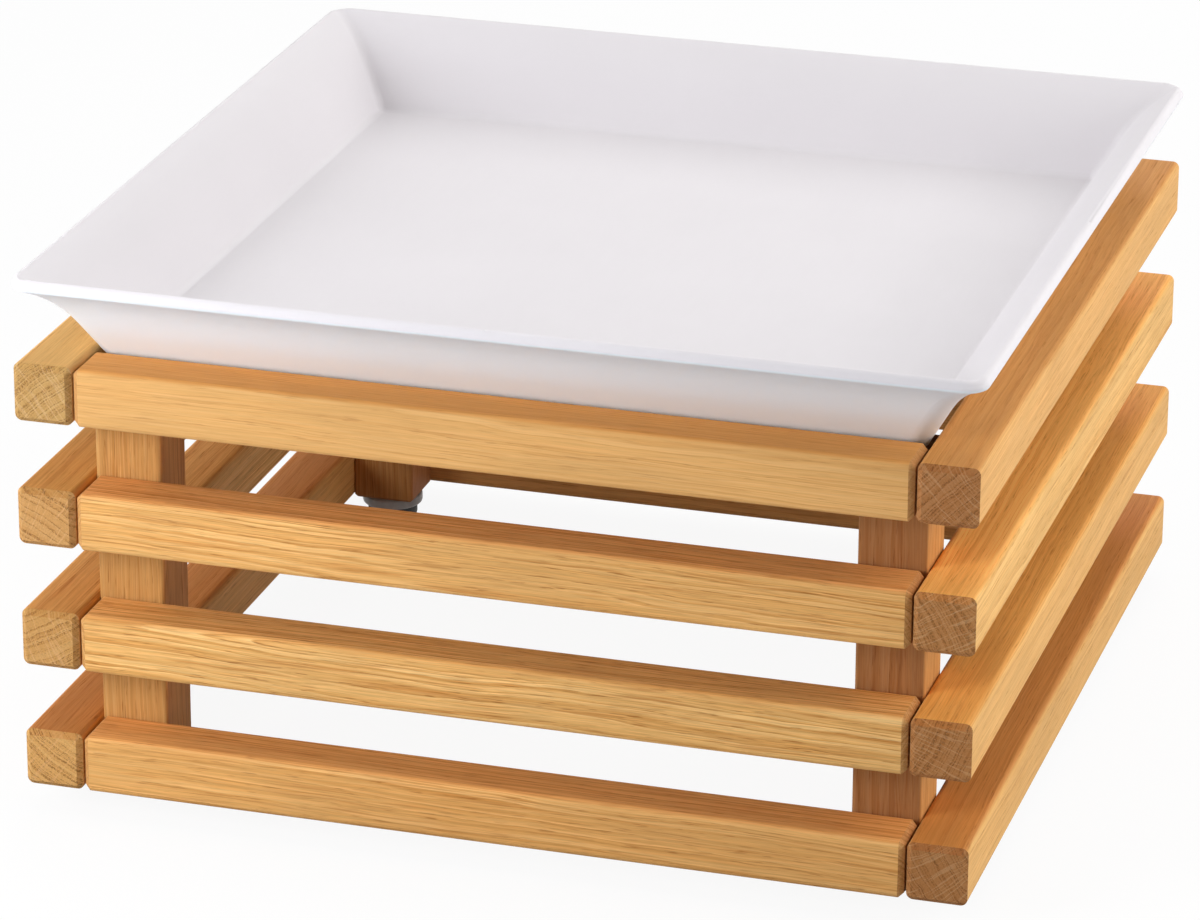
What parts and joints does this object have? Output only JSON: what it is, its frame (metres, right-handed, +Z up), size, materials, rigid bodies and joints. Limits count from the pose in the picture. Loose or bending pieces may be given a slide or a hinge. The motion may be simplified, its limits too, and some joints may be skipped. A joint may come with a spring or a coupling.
{
  "type": "raised tray stand",
  "caption": "Square stand of open oak slats on round rubber feet, with a white flared tray that rests in its top and lifts out.",
  "frame": {"origin": "on the ground under the middle of the stand", "axes": "+X to the right along the front slats, +Y from front to back, +Z up"},
  "size_m": [0.322, 0.322, 0.1867],
  "materials": {
    "oak_slat": "oiled",
    "oak_post": "oiled",
    "beech_dowel": "plain",
    "grey_plastic": "frosted",
    "black_rubber": "matt",
    "zinc_steel": "zinc plated",
    "white_melamine": "satin gloss"
  },
  "bodies": {
    "stand": {"front_slat_1": "oak_slat", "front_slat_2": "oak_slat", "front_slat_3": "oak_slat", "front_slat_4": "oak_slat", "right_slat_1": "oak_slat", "right_slat_2": "oak_slat", "right_slat_3": "oak_slat", "right_slat_4": "oak_slat", "back_slat_1": "oak_slat", "back_slat_2": "oak_slat", "back_slat_3": "oak_slat", "back_slat_4": "oak_slat", "left_slat_1": "oak_slat", "left_slat_2": "oak_slat", "left_slat_3": "oak_slat", "left_slat_4": "oak_slat", "front_left_post": "oak_post", "front_right_post": "oak_post", "back_right_post": "oak_post", "back_left_post": "oak_post", "front_dowels": "beech_dowel", "right_dowels": "beech_dowel", "back_dowels": "beech_dowel", "left_dowels": "beech_dowel", "front_left_foot_collar": "grey_plastic", "front_right_foot_collar": "grey_plastic", "back_right_foot_collar": "grey_plastic", "back_left_foot_collar": "grey_plastic", "front_left_foot_pad": "black_rubber", "front_right_foot_pad": "black_rubber", "back_right_foot_pad": "black_rubber", "back_left_foot_pad": "black_rubber", "foot_screws": "zinc_steel"},
    "tray": {"tray": "white_melamine"}
  },
  "joints": [
    {"name": "tray_lift", "type": "slide", "parent": "stand", "child": "tray", "axis": [0, 0, 1], "range_m": [0, 0.08]}
  ]
}
